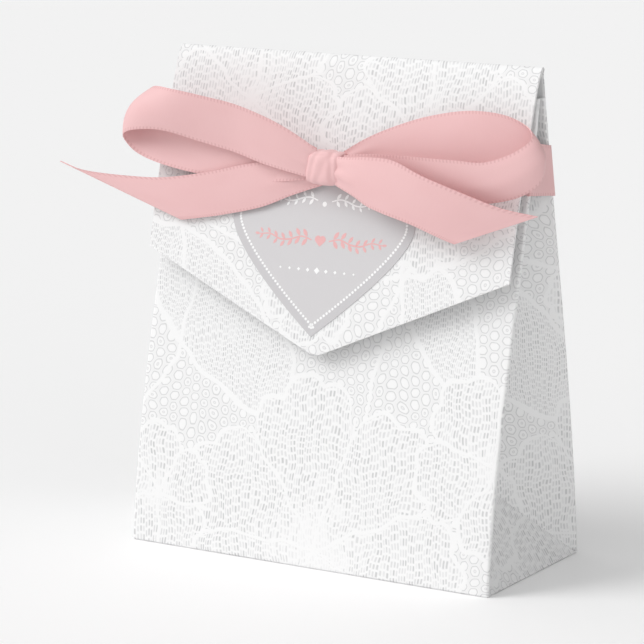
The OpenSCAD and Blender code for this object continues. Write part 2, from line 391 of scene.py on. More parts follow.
def net_lattice(s, u, v, offset):
    """Distance from the nearest hole of one of the net's two lattices, height above or
    below it, and a random number for that hole."""
    a = s.plus(s.math("DIVIDE", u, 2 * NET_ACROSS), offset)
    b = s.plus(s.math("DIVIDE", v, NET_UP), offset)
    column = s.math("ROUND", a)
    row = s.math("ROUND", b)
    dx = s.times(s.minus(a, column), 2 * NET_ACROSS * 0.92)
    dz = s.times(s.minus(b, row), NET_UP)
    square = s.math("MULTIPLY_ADD", dz, dz, s.times(dx, dx))
    return s.math("SQRT", square), s.math("ABSOLUTE", dz), s.chance(column, row)


def net(s, u, v):
    """Honeycomb ground: white holes, each with a thin grey rim, between pale threads."""
    first, up_first, chance_first = net_lattice(s, u, v, 0.0)
    second, up_second, chance_second = net_lattice(s, u, v, 0.5)
    near = s.math("MINIMUM", first, second)
    far = s.math("MAXIMUM", first, second)
    up = s.mix(s.math("LESS_THAN", second, first), up_first, up_second)
    flat = s.math("MULTIPLY_ADD", s.minus(near, far), 0.5, 1.22)
    size = s.plus(s.times(near, 0.4), s.times(s.math("MAXIMUM", flat, up), 0.6))
    rim = band(s, s.minus(size, 0.84), 0.09, 0.09)
    thread = s.ramp(size, 0.98, 1.08, 0.0, 0.16)
    centre = 0.0
    for middle, chance in ((first, chance_first), (second, chance_second)):
        ring = band(s, s.minus(middle, 0.2), 0.1, 0.08)
        centre = s.plus(centre, s.times(ring, s.math("GREATER_THAN", chance, 0.6)))
    lines = s.math("MAXIMUM", s.times(rim, 0.85), s.times(centre, 0.6))
    return s.math("MAXIMUM", lines, thread)


def weave(s, u, v):
    """Dense stitching: short upright dashes in bundles of three, in staggered rows."""
    across = s.math("DIVIDE", u, DASH_ACROSS)
    column = s.math("FLOOR", across)
    bundle = s.math("FLOOR", s.math("DIVIDE", column, 3.0))
    place = s.math("MODULO", s.plus(column, 3000.0), 3.0)
    gap = s.math("MULTIPLY_ADD", s.math("LESS_THAN", place, 0.5), -0.35, 1.0)
    up = s.plus(s.math("DIVIDE", v, DASH_UP), s.times(bundle, 0.5))
    up = s.math("MULTIPLY_ADD", s.chance(column, 7.0), 0.22, up)
    row = s.math("FLOOR", up)
    fx = s.minus(s.math("FRACT", across), 0.5)
    fy = s.minus(s.math("FRACT", up), 0.5)
    dash = s.times(band(s, fx, 0.28, 0.16), band(s, fy, 0.34, 0.1))
    shade = s.ramp(s.chance(column, row), 0.0, 1.0, 0.4, 1.0)
    return s.times(s.times(dash, gap), shade)


def lace_card():
    """White card with a lace print in pale grey on its outer face."""
    s = Shader("lace_card")
    mark = s.attribute("print_at")
    outer = s.math("GREATER_THAN", s.split(mark)[2], 0.5)
    wobble = s.noise(mark, 0.11, 1.0).outputs["Color"]
    wobble = s.shift(wobble, (-0.5, -0.5, -0.5))
    u, v = s.split(s.shift(mark, s.scale(wobble, 4.5)))[:2]
    inside = 0.0
    cord = 0.0
    fringe = 0.0
    streak = s.noise(s.join(s.times(u, 1.5), s.times(v, 0.2)), 1.0, 1.0)
    for x, z, radius, petals, turn in FLOWERS:
        outside, rib, share = flower(s, u, v, x, z, radius, petals, turn)
        within = s.ramp(share, 0.8, 0.86, 1.0, 0.0)
        line = s.times(band(s, rib, 0.34), within)
        inner = s.math("LESS_THAN", outside, 0.0)
        cord = s.times(cord, s.minus(1.0, inner))
        inside = s.math("MAXIMUM", inside, inner)
        cord = s.math("MAXIMUM", cord, s.math("MAXIMUM", band(s, outside, 0.5), line))
        core = s.ramp(s.plus(share, streak.outputs["Fac"]), 0.64, 0.84, 1.0, 0.0)
        fringe = s.times(fringe, s.minus(1.0, inner))
        fringe = s.math("MAXIMUM", fringe, core)
    outside_flowers = s.minus(1.0, inside)
    dense = 0.0
    for first, second in LEAVES:
        leaf = s.math("MAXIMUM", disc(s, u, v, *first), disc(s, u, v, *second))
        leaf_in = s.times(s.math("LESS_THAN", leaf, 0.0), outside_flowers)
        dense = s.math("MAXIMUM", dense, leaf_in)
        edge = s.times(band(s, leaf, 0.48), outside_flowers)
        cord = s.math("MAXIMUM", cord, edge)
    for stem in STEMS:
        edge = s.times(band(s, disc(s, u, v, *stem), 0.42), outside_flowers)
        cord = s.math("MAXIMUM", cord, edge)
    fine = s.shift(mark, s.scale(wobble, 3.5))
    fine_u, fine_v = s.split(fine)[:2]
    finer = weave(s, s.times(fine_u, LEAF_FINER), s.times(fine_v, LEAF_FINER))
    ground = s.mix(dense, net(s, fine_u, fine_v), finer)
    stitches = s.mix(inside, ground, weave(s, fine_u, fine_v))
    bare = s.math("MAXIMUM", cord, s.times(fringe, 0.78))
    tone = s.times(stitches, s.minus(1.0, bare))
    tone = s.times(tone, outer)
    fibre = s.noise(mark, 5.0, 4.0).outputs["Fac"]
    paper = s.mix_colour(fibre, (0.85, 0.85, 0.85, 1), (0.88, 0.88, 0.88, 1))
    s.set(Base_Color=s.mix_colour(tone, paper, (0.585, 0.585, 0.59, 1)), Roughness=0.6)
    s.surface.inputs["Specular IOR Level"].default_value = 0.25
    s.bump(s.math("MULTIPLY_ADD", fibre, 0.4, s.minus(cord, tone)), 0.02, 0.5)
    return s.material


# ---------------------------------------------------------------- other materials


def plain_card():
    """The card's unprinted white, for what stays inside the box."""
    s = Shader("plain_card")
    fibre = s.noise(s.position(), 4.0, 4.0).outputs["Fac"]
    s.set(Base_Color=s.mix_colour(fibre, (0.86, 0.86, 0.855, 1), (0.90, 0.90, 0.895, 1)),
          Roughness=0.7)
    s.bump(fibre, 0.03, 0.6)
    return s.material


def label_paper():
    """Matt warm grey, a shade darker along the rim, where print_at's first number is
    the distance in from the edge."""
    s = Shader("label_paper")
    edge = s.split(s.attribute("print_at"))[0]
    fibre = s.noise(s.position(), 5.0, 4.0).outputs["Fac"]
    inner = s.mix_colour(fibre, (0.600, 0.586, 0.595, 1), (0.628, 0.615, 0.624, 1))
    rim = s.mix_colour(fibre, (0.555, 0.542, 0.555, 1), (0.58, 0.57, 0.58, 1))
    s.set(Base_Color=s.mix_colour(s.ramp(edge, 1.2, 1.5), rim, inner), Roughness=0.6)
    s.bump(fibre, 0.015, 0.5)
    return s.material


def ink(name, colour):
    s = Shader(name)
    fibre = s.noise(s.position(), 6.0, 3.0).outputs["Fac"]
    shade = tuple(c * 0.95 for c in colour[:3]) + (1,)
    s.set(Base_Color=s.mix_colour(fibre, shade, colour), Roughness=0.5)
    return s.material


SELVEDGE_PITCH = 0.8


def satin():
    """Pale pink satin ribbon. print_at starts with the distance along the ribbon and the
    distance from its middle."""
    s = Shader("satin")
    length, across = s.split(s.attribute("print_at"))[:2]
    off = s.math("ABSOLUTE", across)
    threads = s.noise(s.join(s.times(length, 9.0), s.times(across, 0.5)),
                      1.0, 2.0).outputs["Fac"]
    # Long soft patches where the pink turns lighter along the ribbon: a painted sheen that stands in for the
    # satin's highlights, not a colour of the ribbon itself.
    sheen_patches = s.noise(s.join(s.times(length, 0.08), s.times(across, 0.2)),
                     1.0, 1.0).outputs["Fac"]
    body = s.mix_colour(threads, (0.80, 0.488, 0.490, 1), (0.83, 0.525, 0.527, 1))
    body = s.mix_colour(s.ramp(sheen_patches, 0.3, 0.7, 0.0, 0.3), body, (0.845, 0.55, 0.552, 1))
    edge = s.ramp(off, RIBBON_W / 2 - 0.7, RIBBON_W / 2 - 0.5)
    stitch = s.math("FRACT", s.math("DIVIDE", length, SELVEDGE_PITCH))
    tick = band(s, s.minus(stitch, 0.5), 0.22, 0.12)
    notch = s.times(edge, tick)
    colour = s.mix_colour(s.times(notch, 0.55), body, (0.66, 0.36, 0.36, 1))
    s.set(Base_Color=colour, Roughness=0.5)
    s.surface.inputs["Specular IOR Level"].default_value = 0.3
    s.surface.inputs["Sheen Weight"].default_value = 0.1
    s.surface.inputs["Sheen Roughness"].default_value = 0.4
    s.surface.inputs["Sheen Tint"].default_value = (1.0, 0.9, 0.9, 1)
    height = s.plus(s.times(threads, 0.2), s.times(notch, -0.5))
    s.bump(height, 0.04, 0.5)
    return s.material


LACE = lace_card()
PLAIN = plain_card()
LABEL = label_paper()
SATIN = satin()
WHITE_INK = ink("white_ink", (0.93, 0.93, 0.93, 1))
PINK_INK = ink("pink_ink", (0.80, 0.44, 0.44, 1))

# ---------------------------------------------------------------- card

ARC_STEPS = 5
ARC = np.linspace(0, math.pi / 2, ARC_STEPS)


def edge_columns(count):
    """Columns across a panel whose side edges turn in: across, and how far they turn."""
    inner = HALF_W - FOLD_R
    x = np.linspace(-inner, inner, count)
    turn_x = inner + FOLD_R * np.sin(ARC[1:])
    turn_in = FOLD_R * (1 - np.cos(ARC[1:]))
    xs = np.concatenate([-turn_x[::-1], x, turn_x])
    return xs, np.concatenate([turn_in[::-1], np.zeros(count), turn_in])


def base_turn(edge_y, sign):
    """Rounded crease from under the base up on to a panel. sign is -1 at the front."""
    inner = edge_y - sign * FOLD_R
    return [(inner + sign * FOLD_R * math.sin(a), FOLD_R - FOLD_R * math.cos(a)) for a in ARC[:-1]]


def make_front():
    xs, turn = edge_columns(PANEL_COLUMNS)
    path = base_turn(front_y(0), -1)
    path += [(front_y(z), z) for z in np.linspace(FOLD_R, FRONT_TOP, 70)]
    path = np.array(path)
    rows = len(path)
    outer = np.zeros((rows, len(xs), 3))
    outer[:, :, 0] = xs
    outer[:, :, 1] = path[:, 0][:, None] + turn
    outer[:, :, 2] = path[:, 1][:, None]
    normals = grid_normals(outer)
    if normals[rows // 2, len(xs) // 2, 1] < 0:
        normals = -normals
    marks = outer[:, :, [0, 2]].copy()
    piece = slab("front_wall", outer, outer + normals * CARD, marks, LACE)
    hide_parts("front_panel")
    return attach(piece, "front")


def ridge_path():
    """Rounded crease over the ridge and the bend down on to the flap."""
    r = 0.6
    top = HEIGHT - 0.05 - r
    y = back_y(top) - r
    turn = np.radians(np.linspace(0, 118, 8))
    arc = [(y + r * math.cos(a), top + r * math.sin(a)) for a in turn]
    heading = np.array([-math.sin(turn[-1]), math.cos(turn[-1])])
    start = np.array(arc[-1])
    end = np.array([flap_y(BEND_END), BEND_END])
    down = unit(np.array([flap_y(BEND_END - 1) - flap_y(BEND_END), -1]))
    controls = [start, start + 1.0 * heading, end - 1.8 * down, end]
    return arc + [tuple(bezier(controls, t)) for t in np.linspace(0.12, 1, 9)]


# Below this height the flap's rows follow its pointed edge
LEVEL_END = 72


def make_back_and_flap():
    """One sheet: up the back, over the ridge and down the flap, which has two slots."""
    xs, turn = edge_columns(PANEL_COLUMNS)
    slots = [side * SLOT_X + k * SLOT_W / 2 for side in (-1, 1) for k in (-1, 1)]
    for x in slots:
        nearest = np.argmin(np.abs(xs - x))
        xs[nearest] = x
    path = base_turn(back_y(0), 1)
    path += [(back_y(z), z) for z in np.linspace(FOLD_R, HEIGHT - 1.2, 56)]
    ridge_at = len(path)
    path += ridge_path()
    level = [SLOT_HIGH] + list(np.linspace(SLOT_HIGH, LEVEL_END, 16)[1:])
    level = sorted(set(round(z, 3) for z in level + [SLOT_LOW]), reverse=True)
    path += [(flap_y(z), z) for z in level]
    path = np.array(path)
    low_rows = 22
    rows = len(path) + low_rows
    outer = np.zeros((rows, len(xs), 3))
    outer[:, :, 0] = xs
    fade = np.concatenate([np.ones(ridge_at), np.zeros(rows - ridge_at)])
    outer[:len(path), :, 1] = path[:, 0][:, None]
    outer[:len(path), :, 2] = path[:, 1][:, None]
    bottom = FLAP_TIP + (FLAP_CORNER - FLAP_TIP) * np.abs(xs) / HALF_W
    for k in range(low_rows):
        z = level[-1] + (bottom - level[-1]) * (k + 1) / low_rows
        outer[len(path) + k, :, 2] = z
        outer[len(path) + k, :, 1] = flap_y(z)
    outer[:, :, 1] -= fade[:, None] * turn
    normals = grid_normals(outer)
    if normals[10, len(xs) // 2, 1] > 0:
        normals = -normals
    marks = outer[:, :, [0, 2]].copy()
    marks[:ridge_at, :, 0] *= -1
    top = ridge_at + len(ridge_path())
    holes = set()
    for i in range(top, len(path) - 1):
        middle_z = (path[i, 1] + path[i + 1, 1]) / 2
        if SLOT_LOW < middle_z < SLOT_HIGH:
            for j in range(len(xs) - 1):
                if abs(abs((xs[j] + xs[j + 1]) / 2) - SLOT_X) < SLOT_W / 2:
                    holes.add((i, j))
    piece = slab("back_and_flap", outer, outer + normals * CARD, marks, LACE, holes)
    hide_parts("back_panel", "lid_flap")
    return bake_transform(piece)


def crease_at(z, toward):
    """Where a gusset half meets its inner crease, at a height."""
    share = min(z / FOOT_TOP, 1)
    edge = toward * (DEPTH / 2 - FOLD_R)
    top = middle_y(max(z, FOOT_TOP)) + toward * 0.05
    return np.array([HALF_W - GUSSET_IN * share, edge + (top - edge) * share])


def make_gusset_half(side, toward):
    """The front or back half of a folded side, seen from above at each level: round
    the panel's edge, then straight in to the crease."""
    levels = np.concatenate([np.linspace(1.6, FOOT_TOP, 12), np.linspace(18, FRONT_TOP, 40)])
    rows, lengths = [], []
    for z in levels:
        face = front_y(z) if toward < 0 else back_y(z)
        centre = np.array([HALF_W - FOLD_R, face - toward * FOLD_R])
        target = crease_at(z, toward)
        away = target - centre
        away[1] *= -toward
        far = max(np.linalg.norm(away), FOLD_R * 1.01)
        start = math.pi / 2
        end = math.atan2(away[1], away[0]) - math.acos(FOLD_R / far) + math.pi / 2
        turned = np.linspace(start, max(end, start), 6)
        arc = np.column_stack([centre[0] + FOLD_R * np.sin(turned),
                               centre[1] + toward * FOLD_R * np.cos(turned)])
        straight = [arc[-1] + (target - arc[-1]) * k / 12 for k in range(1, 13)]
        row = np.vstack([arc, straight])
        rows.append(np.column_stack([row, np.full(len(row), z)]))
        lengths.append(along(row))
    tip = np.array([HALF_W - 0.35, toward * (DEPTH / 2 - 0.45), 0.25])
    rows.insert(0, np.tile(tip, (len(rows[0]), 1)))
    lengths.insert(0, np.zeros(len(rows[0])))
    outer = np.array(rows)
    heading = unit(np.gradient(outer, axis=1))
    normals = np.stack([-heading[:, :, 1], heading[:, :, 0], np.zeros(outer.shape[:2])], axis=2)
    normals = unit(normals) * (1 if toward < 0 else -1)
    normals[0] = normals[1]
    marks = np.zeros(outer.shape[:2] + (2,))
    marks[:, :, 0] = np.array(lengths) * -toward + toward * 14 - 24 * side
    marks[:, :, 1] = outer[:, :, 2]
    inner = outer + normals * (CARD - 0.02)
    inner[0] = outer[0] + np.array([-0.3, -toward * 0.3, 0])
    outer[:, :, 0] *= side
    inner[:, :, 0] *= side
    word = ("left" if side < 0 else "right", "front" if toward < 0 else "back")
    piece = slab(f"gusset_{word[1]}_{word[0]}_card", outer, inner, marks, LACE)
    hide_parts(f"gusset_{word[1]}_{word[0]}")
    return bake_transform(piece)


def make_gusset_foot(side):
    """The triangle that leans in from the base's side edge."""
    corner_y = DEPTH / 2 - FOLD_R
    apex = np.array([HALF_W - GUSSET_IN, middle_y(FOOT_TOP), FOOT_TOP])
    rows = []
    for a in ARC[:-1]:
        x = HALF_W - FOLD_R + FOLD_R * math.sin(a)
        z = FOLD_R - FOLD_R * math.cos(a)
        rows.append([(x, y, z) for y in np.linspace(-corner_y, corner_y, 21)])
    for share in np.linspace(0.03, 1, 16):
        front = np.array([HALF_W, -corner_y, 0]) * (1 - share) + apex * share
        back = np.array([HALF_W, corner_y, 0]) * (1 - share) + apex * share
        rows.append([front + (back - front) * t for t in np.linspace(0, 1, 21)])
    outer = np.array(rows)
    lean = math.atan2(GUSSET_IN, FOOT_TOP)
    inward = np.array([-math.cos(lean), 0, -math.sin(lean)])
    inner = outer + inward * CARD
    inner[:, :, 2] = np.maximum(inner[:, :, 2], 0.02)
    marks = np.stack([outer[:, :, 1] - 24 * side, outer[:, :, 2] - 4], axis=2)
    outer[:, :, 0] *= side
    inner[:, :, 0] *= side
    name = "left" if side < 0 else "right"
    piece = slab(f"gusset_foot_{name}_card", outer, inner, marks, LACE)
    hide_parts(f"gusset_foot_{name}")
    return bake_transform(piece)


def make_gusset_hem(side):
    """A strip of card inside the foot's front crease, which the crease's opening shows
    when the front leans out."""
    corner = np.array([HALF_W, FOLD_R - DEPTH / 2, 0])
    apex = np.array([HALF_W - GUSSET_IN, middle_y(FOOT_TOP), FOOT_TOP])
    lean = math.atan2(GUSSET_IN, FOOT_TOP)
    inward = np.array([-math.cos(lean), 0, -math.sin(lean)])
    rows = []
    for share in np.linspace(0.1, 0.86, 14):
        foot = corner + (apex - corner) * share + inward * (CARD + HEM_CLEAR)
        rows.append([foot + np.array([0, across, 0]) for across in np.linspace(-0.2, HEM_W, 5)])
    outer = np.array(rows)
    inner = outer + inward * HEM_T
    outer[:, :, 0] *= side
    inner[:, :, 0] *= side
    name = "left" if side < 0 else "right"
    piece = slab(f"gusset_hem_{name}_card", outer, inner, outer[:, :, 1:], PLAIN)
    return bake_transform(piece)


# ---------------------------------------------------------------- heart label

HEART_W = heart_high.x - heart_low.x
HEART_X = (heart_low.x + heart_high.x) / 2
HEART_TIP = heart_low.z
LOBE_R = 0.296 * HEART_W
LOBE_X = HEART_W / 2 - LOBE_R
LOBE_Z = HEART_TIP + 0.535 * HEART_W


def heart_outline(steps):
    """Points round the heart in front view, evenly spaced, from its notch clockwise."""
    notch = math.acos(LOBE_X / LOBE_R)
    arc = [(LOBE_X + LOBE_R * math.cos(a), LOBE_Z + LOBE_R * math.sin(a))
           for a in np.linspace(math.pi - notch, 0, 60)]
    side = [np.array([LOBE_X + LOBE_R, LOBE_Z]),
            np.array([LOBE_X + LOBE_R, LOBE_Z - 0.12 * HEART_W]),
            np.array([0.22 * HEART_W, HEART_TIP + 0.17 * HEART_W]), np.array([0, HEART_TIP])]
    half = np.array(arc + [tuple(bezier(side, t)) for t in np.linspace(0.02, 1, 60)])
    whole = np.vstack([half, half[-2::-1] * [-1, 1]])
    distance = along(whole)
    at = np.linspace(0, distance[-1], steps, endpoint=False)
    return np.column_stack([np.interp(at, distance, whole[:, k]) for k in range(2)])


def on_flap(points, lift):
    """The label's front-view points laid on the flap's face, lifted off it."""
    points = np.asarray(points, float)
    y = flap_y(points[..., 1])
    slope = flap_y(points[..., 1] + 0.5) - flap_y(points[..., 1] - 0.5)
    out = unit(np.stack([np.zeros_like(y), -np.ones_like(y), slope], axis=-1))
    place = np.stack([points[..., 0] + HEART_X, y, points[..., 1]], axis=-1)
    return place + out * lift


def make_label():
    """The heart, as rings from its outline in to its middle."""
    edge = heart_outline(240)
    centre = np.array([0, LOBE_Z - 0.04 * HEART_W])
    shares = [0, 0.03, 0.06, 0.1, 0.16, 0.25, 0.36, 0.5, 0.65, 0.8, 0.93]
    rings = np.array([edge + (centre - edge) * s for s in shares])
    size = np.linalg.norm(edge - centre, axis=1)
    depth = np.array([size * s * 0.8 for s in shares])
    count = len(edge)
    points, marks, faces = [], [], []
    for lift in (0.17, 0.02):
        points += list(on_flap(rings, lift).reshape(-1, 3)) + [on_flap(centre, lift)]
        marks += [(d, 0, 1) for d in depth.ravel()] + [(20, 0, 1)]
    total = len(shares) * count + 1
    for layer in (0, 1):
        base = layer * total
        for i in range(len(shares) - 1):
            for j in range(count):
                a, b = base + i * count + j, base + i * count + (j + 1) % count
                faces.append([a, b, b + count, a + count])
        last = base + (len(shares) - 1) * count
        faces += [[last + j, last + (j + 1) % count, base + total - 1] for j in range(count)]
    faces += [[j, (j + 1) % count, total + (j + 1) % count, total + j] for j in range(count)]
    piece = new_mesh("heart_paper", points, faces, LABEL, marks)
    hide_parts("heart_label")
    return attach(piece, "lid")


INK_LIFT = 0.19
INK_ROOT = 0.15


def print_shapes(name, outlines, material, strokes=()):
    """Flat printed shapes on the label in front view: closed outlines, each filled
    round its middle, and strokes, each a pair of edges."""
    points, faces = [], []
    for outline in outlines:
        outline = np.array(outline, float)
        n, first = len(outline), len(points)
        middle = outline.mean(axis=0)
        points += list(on_flap(outline, INK_LIFT)) + list(on_flap(outline, INK_ROOT))
        points += [on_flap(middle, INK_LIFT), on_flap(middle, INK_ROOT)]
        for j in range(n):
            k = (j + 1) % n
            faces.append([first + j, first + k, first + n + k, first + n + j])
            faces.append([first + j, first + 2 * n, first + k])
            faces.append([first + n + j, first + n + k, first + 2 * n + 1])
    for left, right in strokes:
        n, first = len(left), len(points)
        for lift in (INK_LIFT, INK_ROOT):
            points += list(on_flap(left, lift)) + list(on_flap(right, lift))
        for j in range(n - 1):
            a, b, c, d = (first + k * n + j for k in range(4))
            faces += [[a, a + 1, b + 1, b], [c, d, d + 1, c + 1], [a, c, c + 1, a + 1],
                      [b, b + 1, d + 1, d]]
        for j in (0, n - 1):
            a, b, c, d = (first + k * n + j for k in range(4))
            faces.append([a, b, d, c] if j == 0 else [a, c, d, b])
    piece = new_mesh(name, points, faces, material)
    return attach(piece, "lid")


def dot(x, z, r, sides=10):
    return [(x + r * math.cos(a), z + r * math.sin(a))
            for a in np.linspace(0, 2 * math.pi, sides, endpoint=False)]


def stroke(points, widths):
    """The two edges of a pen line along a smooth curve, and of its mirror image."""
    curve = spline(points, 10)
    half = np.interp(np.linspace(0, 1, len(curve)), np.linspace(0, 1, len(widths)), widths)
    ahead = unit(np.gradient(curve, axis=0))
    offset = np.column_stack([-ahead[:, 1], ahead[:, 0]]) * half[:, None]
    pair = (curve + offset, curve - offset)
    return [pair, tuple(edge * [-1, 1] for edge in pair)]


def leaf(x, z, angle, length):
    """A pointed leaf growing from a point."""
    outline = []
    for side in (1, -1):
        for t in np.linspace(0, 1, 7)[:-1]:
            share = t if side > 0 else 1 - t
            wide = side * 0.22 * length * math.sin(math.pi * share) ** 0.8
            outline.append((x + length * share * math.cos(angle) - wide * math.sin(angle),
                            z + length * share * math.sin(angle) + wide * math.cos(angle)))
    return outline


def sprig(z, start, end, count, length):
    """A waving stem to each side of the middle, with leaves in pairs along it."""
    xs = np.linspace(start, end, 6)
    line = [(x, z + 0.5 * math.sin((x - start) * 0.75)) for x in xs]
    leaves = []
    for k in range(count):
        share = (k + 0.6) / count
        x = start + (end - start) * share
        foot = z + 0.5 * math.sin((x - start) * 0.75)
        size = length * (1 - 0.45 * share)
        leaves += [leaf(x, foot + 0.15, 0.95, size), leaf(x, foot - 0.15, -0.95, size)]
    leaves.append(leaf(end, line[-1][1], 0.1, length * 0.6))
    return stroke(line, [0.12, 0.16, 0.1]), mirrored(leaves)


def mirrored(shapes):
    return shapes + [[(-x, z) for x, z in reversed(shape)] for shape in shapes]


def make_prints():
    edge = heart_outline(150)
    ahead = unit(np.roll(edge, -1, axis=0) - np.roll(edge, 1, axis=0))
    inward = edge + np.column_stack([ahead[:, 1], -ahead[:, 0]]) * 1.75
    border = [dot(x, z, 0.27) for x, z in inward]
    print_shapes("label_border", border, WHITE_INK)
    low = mirrored([dot(k * 2.1, 58.6, 0.46 - 0.05 * k, 4) for k in range(1, 5)])
    top_stem, top_leaves = sprig(72, 1.6, 10.5, 5, 1.5)
    middle = [dot(0, 58.6, 0.65, 4), dot(0, 71.4, 0.5)]
    print_shapes("label_white_ornament", low + top_leaves + middle, WHITE_INK, top_stem)
    stem, leaves = sprig(64.4, 2, 14, 7, 1.9)
    small = [(x * 0.06, 64.6 + (z - LOBE_Z) * 0.06) for x, z in heart_outline(24)]
    print_shapes("label_pink_ornament", leaves + [small], PINK_INK, stem)


# ---------------------------------------------------------------- ribbon


GATHERS = 2


def ribbon_section(top, bottom, out, bulge, across):
    """Points across one stretch of ribbon, which bows out by bulge. What the ribbon's
    width has over the gap between its edges goes into soft gathers along out."""
    gap = np.linalg.norm(bottom - top)
    spare = min(max(RIBBON_W / gap - 1.12, 0), 1.2)
    t = (across + 1) / 2
    wave = np.sin(2 * math.pi * GATHERS * t + 0.6) * 0.42 * spare * np.sin(math.pi * t)
    return top + (bottom - top) * t[:, None] + out * (wave + bulge * (1 - across ** 2))[:, None]


def ribbon_strip(name, pairs, nodes, flip=1, per_step=10,
                 body="lid"):
    """A stretch of ribbon through pairs of a top edge's point, a bottom edge's point and
    how far the ribbon bows out between them."""
    upper = spline([pair[0] for pair in pairs], per_step)
    lower = spline([pair[1] for pair in pairs], per_step)
    bulges = spline([(pair[2],) for pair in pairs], per_step)[:, 0]
    middle = (upper + lower) / 2
    heading = unit(np.gradient(middle, axis=0))
    out = unit(np.cross(heading, upper - lower)) * flip
    across = np.linspace(-1, 1, 25)
    outer = np.array([ribbon_section(upper[i], lower[i], out[i], bulges[i], across)
                      for i in range(len(upper))])
    return cloth(name, outer, along(middle), nodes, body, flip)


def cloth(name, outer, lengths, nodes, body, flip=1):
    """A ribbon piece from its grid of points, with each point's distance along and across the ribbon stored
    for the print.
    """
    across = np.linspace(-RIBBON_W / 2, RIBBON_W / 2, outer.shape[1])
    normals = grid_normals(outer) * flip
    marks = np.stack([np.repeat(lengths[:, None], len(across), axis=1),
                      np.repeat(across[None], len(lengths), axis=0)], axis=2)
    piece = slab(name, outer + normals * RIBBON_T / 2, outer - normals * RIBBON_T / 2, marks,
                 SATIN, crease=60)
    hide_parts(*nodes)
    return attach(piece, body) if body else piece


# How far the ribbon's middle lies off the card, and its height at the back, at the sides'
# front edge and at the slots
LIE = 0.2
BACK_H = (corners("ribbon_back")[0].z + corners("ribbon_back")[1].z) / 2
SIDE_H = 80.8
SLOT_H = 83.4
KNOT = (knot_low + knot_high) / 2


def make_ribbon_back():
    heights = np.linspace(RIBBON_W / 2, -RIBBON_W / 2, 9) + BACK_H
    xs = np.linspace(-HALF_W - 0.1, HALF_W + 0.1, 40)
    outer = np.array([[(x, back_y(z) + LIE, z) for z in heights] for x in xs])
    cloth("ribbon_back_satin", outer, along(outer[:, 4]), ["ribbon_back"],
          "box", -1)


def make_ribbon_side(side):
    """Round the back edge, across the gusset's mouth, round the front edge and along
    the front panel to the slot."""
    x = HALF_W + LIE
    lines = []
    for up in np.linspace(RIBBON_W / 2, -RIBBON_W / 2, 9):
        back_z, front_z, slot_z = BACK_H + up, SIDE_H + up, SLOT_H + up
        from_y, to_y = back_y(back_z), front_y(front_z)
        line = [(x - 1.2, from_y + LIE, back_z), (x - 0.3, from_y + LIE * 0.8, back_z),
                (x, from_y - 0.3, back_z + 0.02)]
        for k in range(1, 5):
            share = k / 5
            line.append((x - 0.15 * math.sin(math.pi * share), from_y * (1 - share) + to_y * share,
                         back_z + (front_z - back_z) * share))
        line += [(x, to_y + 0.3, front_z), (x - 0.3, to_y - LIE * 0.8, front_z)]
        for k in (0.1, 0.4, 0.7, 1):
            z = front_z + (slot_z - front_z) * k
            line.append((x - 0.3 - (x - 0.3 - SLOT_X - 1.2) * k, front_y(z) - LIE - 0.05, z))
        lines.append(spline(line, 4))
    outer = np.array(lines).transpose(1, 0, 2)
    outer[:, :, 0] *= side
    word = "left" if side < 0 else "right"
    piece = cloth(f"ribbon_side_{word}_satin", outer, along(outer[:, 4]),
                  [f"ribbon_side_{word}", f"ribbon_tuck_{word}"],
                  None, side)
    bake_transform(piece)


def make_band(side):
    """Out of the slot and over the flap to the knot."""
    line = [(SLOT_X + 0.9, -0.95, SLOT_H, 1), (SLOT_X + 0.1, -0.55, SLOT_H, 1),
            (SLOT_X - 0.1, 0.05, SLOT_H, 1), (SLOT_X - 0.9, 0.4, SLOT_H - 0.2, 1),
            (SLOT_X - 6, 0.45, SLOT_H - 1.3, 1), (16, 0.45, SLOT_H - 2.6, 0.95),
            (9, 0.7, 79.8, 0.75), (4.4, 0.9, KNOT.z, 0.6)]
    pairs = []
    for x, gap, z, wide in line:
        edge = [z + up * wide * RIBBON_W / 2 for up in (1, -1)]
        pairs.append([(side * x, flap_y(height) - gap, height) for height in edge] + [0.1])
    word = "left" if side < 0 else "right"
    ribbon_strip(f"ribbon_band_{word}_satin", pairs, [f"ribbon_band_{word}"], flip=-side)


# ---------------------------------------------------------------- bow

LEFT_X = knot_low.x - 0.15
RIGHT_X = knot_high.x + 0.15

# From the knot out: a point of the top edge, the point of the bottom edge across from
# it, and how far the ribbon bows out between them (in, where negative)
LOOP_LEFT = [
    ((-0.8, -12.2, 82.2), (LEFT_X + 1, -12.2, 77), 0.2), ((-3.2, -13.2, 84.3), (-4.6, -12.7, 77.4), 0.4),
    ((-8, -14.6, 87.2), (-8.8, -13, 78.2), 0.3), ((-13, -15.2, 89.2), (-14.2, -12.6, 79.2), 0.2),
    ((-19, -15.2, 90.8), (-20.6, -12.2, 80.8), 0.1), ((-26, -15.4, 91.9), (-28, -12.7, 82.3), 0.2),
    ((-33, -15.3, 92.8), (-36, -14.2, 84.2), 0.6), ((-38.4, -13.2, 92.8), (-42.4, -14.4, 84), 1.2),
    ((-41.4, -10.8, 91.6), (-46.4, -13.1, 82.8), 1.8), ((-42.4, -9.8, 89.6), (-46.9, -11.9, 81), 1.8),
    ((-40.6, -9.6, 87.6), (-44.2, -11.4, 78.6), 1.1), ((-35.6, -9.6, 86.2), (-38.4, -11.2, 76.8), 0.4),
    ((-27.4, -9.6, 85.2), (-29.3, -11, 75.5), 0.3), ((-15, -9.8, 84.6), (-15.6, -10.8, 75.1), 0.2),
    ((-7.6, -10.2, 83), (-7.8, -11.1, 75.8), 0.2), ((LEFT_X + 1, -10.6, 81.4), (LEFT_X + 1, -11, 76.6), 0.2)]
